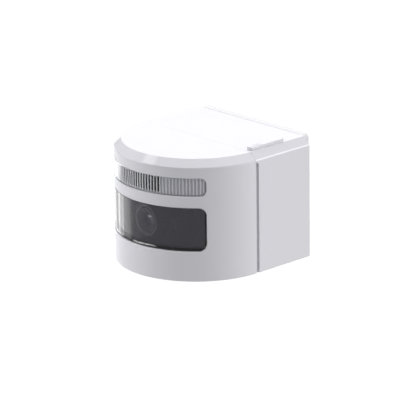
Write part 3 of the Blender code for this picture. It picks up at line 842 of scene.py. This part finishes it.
# ---------------------------------------------------------------- small movers
def top_latch():
    """Low bar with grip lines, on a stem and foot that hold it in its slot."""
    low, high = body_box("top_latch")
    middle, half = (low.x + high.x) / 2, (high.x - low.x) / 2
    seat = HEIGHT + 0.06 * MM
    outline = round_rect(middle, (low.y + high.y) / 2, half, (high.y - low.y) / 2, 1.0 * MM)
    bar = prism("latch_bar", outline, seat, high.z, [WHITE])
    left, right = middle - half - MM, middle + half + MM
    grips = bmesh.new()
    for i in range(5):
        y = low.y + (3 + 1.6 * i) * MM
        box_mesh(grips, (left, y, high.z - 0.4 * MM), (right, y + 0.7 * MM, high.z + MM))
    weld(grips)
    combine(bar, [to_object("cutter", grips, [WHITE])], "DIFFERENCE")
    stem_low = (middle - 1.1 * MM, low.y + 3.8 * MM, low.z)
    stem_high = (middle + 1.1 * MM, high.y - 4.2 * MM, seat + 0.1 * MM)
    foot_low = (middle - 2 * MM, low.y, low.z)
    foot_high = (middle + 2 * MM, high.y, low.z + 1.2 * MM)
    stem, foot = box_piece("stem", stem_low, stem_high, WHITE), box_piece("foot", foot_low, foot_high, WHITE)
    combine(bar, [stem, foot], "UNION")
    attach(bar, "top_latch", ["top_latch"])
    soften(bar, 0.3 * MM)


def card_door():
    """Rubber flap in the underside, with a fingernail scoop outside and a raised rim inside."""
    low, high = body_box("card_door")
    middle, half = (low + high) / 2, (high - low) / 2
    rim = 1.6 * MM
    flap = round_rect(middle.x, middle.y, half.x, half.y, 1.0 * MM)
    scoop = round_rect(middle.x, low.y + 2.2 * MM, 6 * MM, 1.1 * MM, 1.0 * MM)
    recess = round_rect(middle.x, middle.y, half.x - rim, half.y - rim, 1.0 * MM)
    door = prism("door_fine", flap, low.z, high.z, [RUBBER])
    cutters = [
        cutter(scoop, low.z - MM, low.z + 0.7 * MM, [RUBBER]),
        cutter(recess, high.z - 0.5 * MM, high.z + MM, [RUBBER]),
    ]
    combine(door, cutters, "DIFFERENCE")
    attach(door, "card_door", ["card_door"])
    soften(door, 0.25 * MM)


# ---------------------------------------------------------------- camera head, as (radius, depth) profiles
HEAD_LOW, HEAD_HIGH = body_box("camera_ring")
HEAD_FRONT = Vector(((HEAD_LOW.x + HEAD_HIGH.x) / 2, HEAD_LOW.y, (HEAD_LOW.z + HEAD_HIGH.z) / 2))
RING_R = (HEAD_HIGH.x - HEAD_LOW.x) / 2
HOOD_MOUTH, HOOD_THROAT = 8.2, 4.0  # radii, in millimetres
HOOD_FRONT, HOOD_DEEP = 0.95, 4.0


def head_piece(name, profile, finish, node, closed=True):
    made = turned(name, profile, HEAD_FRONT, finish, 96, closed)
    attach(made, "camera_head", [node])
    even_shading(made)


def camera_ring():
    bead = 0.55 * MM
    bore, depth = 10.9 * MM, 3.0 * MM
    profile = [(RING_R, depth)] + arc(RING_R - bead, bead, bead, 0, -90, 5)
    profile += arc(RING_R - 2 * bead + 0.1 * MM, bead, bead, 270, 180, 5)
    profile += [(bore, 0.9 * MM), (bore, depth)]
    head_piece("ring_fine", profile, SATIN_BLACK, "camera_ring")


def ir_window():
    """Grey ring over the infrared lamps, sloping in a little."""
    points = ((10.6, 2.4), (10.6, 1.0), (10.45, 0.85), (9.15, 1.15), (9.0, 1.3), (9.0, 2.4))
    head_piece("ir_window", [(r * MM, h * MM) for r, h in points], IR_GREY, "ir_ring")


def lens_hood():
    """Stepped cone that keeps stray light off the lens."""
    points = [(8.7, 5.6), (8.7, 1.1), (8.5, HOOD_FRONT), (HOOD_MOUTH, HOOD_FRONT)]
    count = 7
    for i in range(count):
        radius = HOOD_MOUTH - (HOOD_MOUTH - HOOD_THROAT) * (i + 0.75) / count
        height = HOOD_FRONT + (HOOD_DEEP - HOOD_FRONT) * (i + 0.25) / count
        points += [(radius + 0.12, height), (radius, height + 0.3)]
    points += [(HOOD_THROAT, 4.2), (HOOD_THROAT, 5.6)]
    head_piece("hood_fine", [(r * MM, h * MM) for r, h in points], HOOD, "lens_hood")


def lens_glass():
    """Front element: a dome that stands out of its seat."""
    points = [(0, 5.4), (3.7, 5.4), (3.7, 3.5)]
    rim, steps = math.radians(58), 8
    for i in range(steps + 1):
        turn = rim * (1 - i / steps)
        sunk = (1 - math.cos(turn)) / (1 - math.cos(rim))
        points.append((3.3 * math.sin(turn) / math.sin(rim), 1.75 + 1.64 * sunk))
    head_piece("lens_fine", [(r * MM, h * MM) for r, h in points], GLASS, "lens_glass", closed=False)


def camera_barrel():
    """Barrel behind the ring, with six grooves round its back."""
    low, high = body_box("camera_barrel")
    front, back, radius = low.y - HEAD_FRONT.y, high.y - HEAD_FRONT.y, (high.x - low.x) / 2
    floor = radius - 0.5 * MM
    profile = [(0, back), (radius - 1 * MM, back), (radius, back - 1 * MM)]
    for i in range(6):
        y = back - (3 + 1.6 * i) * MM
        profile += [(radius, y), (floor, y - 0.3 * MM), (floor, y - 0.9 * MM), (radius, y - 1.2 * MM)]
    profile += [(radius, front), (9.3 * MM, front), (9.3 * MM, 6 * MM), (0, 6 * MM)]
    head_piece("barrel_fine", profile, BLACK, "camera_barrel", closed=False)


# ---------------------------------------------------------------- finishes of the CAD nodes that stay
def dress_nodes():
    finishes = {
        "seam_gasket": RUBBER, "window_seal": RUBBER, "strip_seal": REFLECTOR, "inner_frame": BLACK,
        "main_board": GREEN, "driver_board": GREEN, "antenna": GREEN, "io_board": GREEN, "motion_board": GREEN,
        "image_board": GREEN, "led_board_left": WHITE_BOARD, "led_board_right": WHITE_BOARD,
        "processor_shield": STEEL, "radio_shield": STEEL, "transformer": BLACK, "capacitor": BLACK,
        "terminal_block": BLUE, "microphone": STEEL, "speaker": BLACK, "card_slot": STEEL, "tact_switch": BLACK,
        "heat_sink": ALUMINIUM, "reflector_left": REFLECTOR, "reflector_right": REFLECTOR,
        "motion_sensor": STEEL, "camera_shelf": BLACK, "pan_motor": STEEL, "pan_shaft": STEEL,
        "camera_yoke": BLACK, "tilt_motor": BLACK, "tilt_pin_left": STEEL, "tilt_pin_right": STEEL,
        "sensor_panel": SATIN_BLACK, "reset_button": BLUE,
    }
    for i in range(1, 5):
        finishes[f"frame_screw_{i}"] = STEEL
    for side in ("left", "right"):
        for i in range(1, 4):
            finishes[f"led_{side}_{i}"] = PHOSPHOR
    for name, finish in finishes.items():
        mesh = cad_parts[name].data
        mesh.materials.clear()
        mesh.materials.append(finish)


# ---------------------------------------------------------------- stage and light
# Soft lights round the object, as (azimuth, elevation, inner and outer half-width, radiance), in degrees:
# azimuth 0 is straight in front of the object and 90 on its right; a light is even out to its inner
# half-width and fades to nothing at its outer one.
LIGHTS = {
    "left_front": (-52, 14, 12, 38, 1.25),
    "left_glow": (-72, -18, 1, 13, 1.6),
    "left_side": (-88, -16, 8, 10, 2.6),
    "left_wide": (-104, -16, 6, 17, 2.9),
    "left_far": (-124, -16, 6, 18, 1.4),
    "left_back": (-133, 48, 15, 42, 1.7),
    "left_patch": (-52, 50, 6, 8, 2.8),
    "sill_left": (-57, -34, 5, 9, 6.0),
    "sill_middle": (-43, -34, 5, 9, 6.0),
    "sill_right": (-29, -34, 5, 9, 6.0),
    "overhead": (0, 90, 20, 50, 1.42),
    "front_high": (-20, 45, 15, 45, 0.14),
    "right_back": (125, -2, 15, 45, 2.05),
}
AMBIENT = 0.34


def direction(azimuth, elevation):
    azimuth, elevation = math.radians(azimuth), math.radians(elevation)
    flat = math.cos(elevation)
    return Vector((flat * math.sin(azimuth), -flat * math.cos(azimuth), math.sin(elevation)))


def light():
    """The soft lights, added up in one world shader."""
    world = bpy.data.worlds.new("studio")
    bpy.context.scene.world = world
    world.use_nodes = True
    tree = world.node_tree
    background = tree.nodes["Background"]
    background.inputs["Color"].default_value = (1, 1, 1, 1)
    coords = tree.nodes.new("ShaderNodeTexCoord")
    total = None
    for azimuth, elevation, inner, outer, radiance in LIGHTS.values():
        toward = tree.nodes.new("ShaderNodeVectorMath")
        toward.operation = "DOT_PRODUCT"
        toward.inputs[1].default_value = direction(azimuth, elevation)
        tree.links.new(coords.outputs["Generated"], toward.inputs[0])
        glow = tree.nodes.new("ShaderNodeMapRange")
        glow.interpolation_type = "SMOOTHSTEP"
        glow.inputs["From Min"].default_value = math.cos(math.radians(outer))
        glow.inputs["From Max"].default_value = math.cos(math.radians(inner))
        glow.inputs["To Max"].default_value = radiance
        tree.links.new(toward.outputs["Value"], glow.inputs["Value"])
        add = tree.nodes.new("ShaderNodeMath")
        add.operation = "ADD"
        tree.links.new(glow.outputs["Result"], add.inputs[0])
        if total is None:
            add.inputs[1].default_value = AMBIENT
        else:
            tree.links.new(total, add.inputs[1])
        total = add.outputs["Value"]
    tree.links.new(total, background.inputs["Strength"])


FLOOR_DROP = 2.2  # in metres, from the object down to the floor, as when it hangs on a wall
ROOM = 4.0  # the dome's radius
BACKDROP_GLOW = 1.05


def room():
    """A plain white floor and a dome round everything, seen only by the camera, so they don't light the object."""
    white = bpy.data.materials.new("white_backdrop")
    white.use_nodes = True
    tree = white.node_tree
    tree.nodes.remove(tree.nodes["Principled BSDF"])
    glow = tree.nodes.new("ShaderNodeEmission")
    glow.inputs["Strength"].default_value = BACKDROP_GLOW
    tree.links.new(glow.outputs["Emission"], tree.nodes["Material Output"].inputs["Surface"])
    bpy.ops.mesh.primitive_plane_add(size=2 * ROOM, location=(0, 0, BASE.z - FLOOR_DROP))
    floor = bpy.context.active_object
    floor.name = "floor"
    bpy.ops.mesh.primitive_uv_sphere_add(radius=ROOM, segments=48, ring_count=24)
    dome = bpy.context.active_object
    dome.name = "dome"
    for piece in (floor, dome):
        piece.data.materials.append(white)
        piece.visible_diffuse = False
        piece.visible_glossy = False
        piece.visible_transmission = False
        piece.visible_shadow = False


make_camera()
front_cover()
window_pane()
strip_lens()
diffusers()
flutes()
rear_housing()
wall_plate()
hang_stud("left")
hang_stud("right")
grommet()
top_latch()
card_door()
camera_ring()
ir_window()
lens_hood()
lens_glass()
camera_barrel()
dress_nodes()
room()
light()
bpy.context.scene.view_settings.view_transform = "Standard"
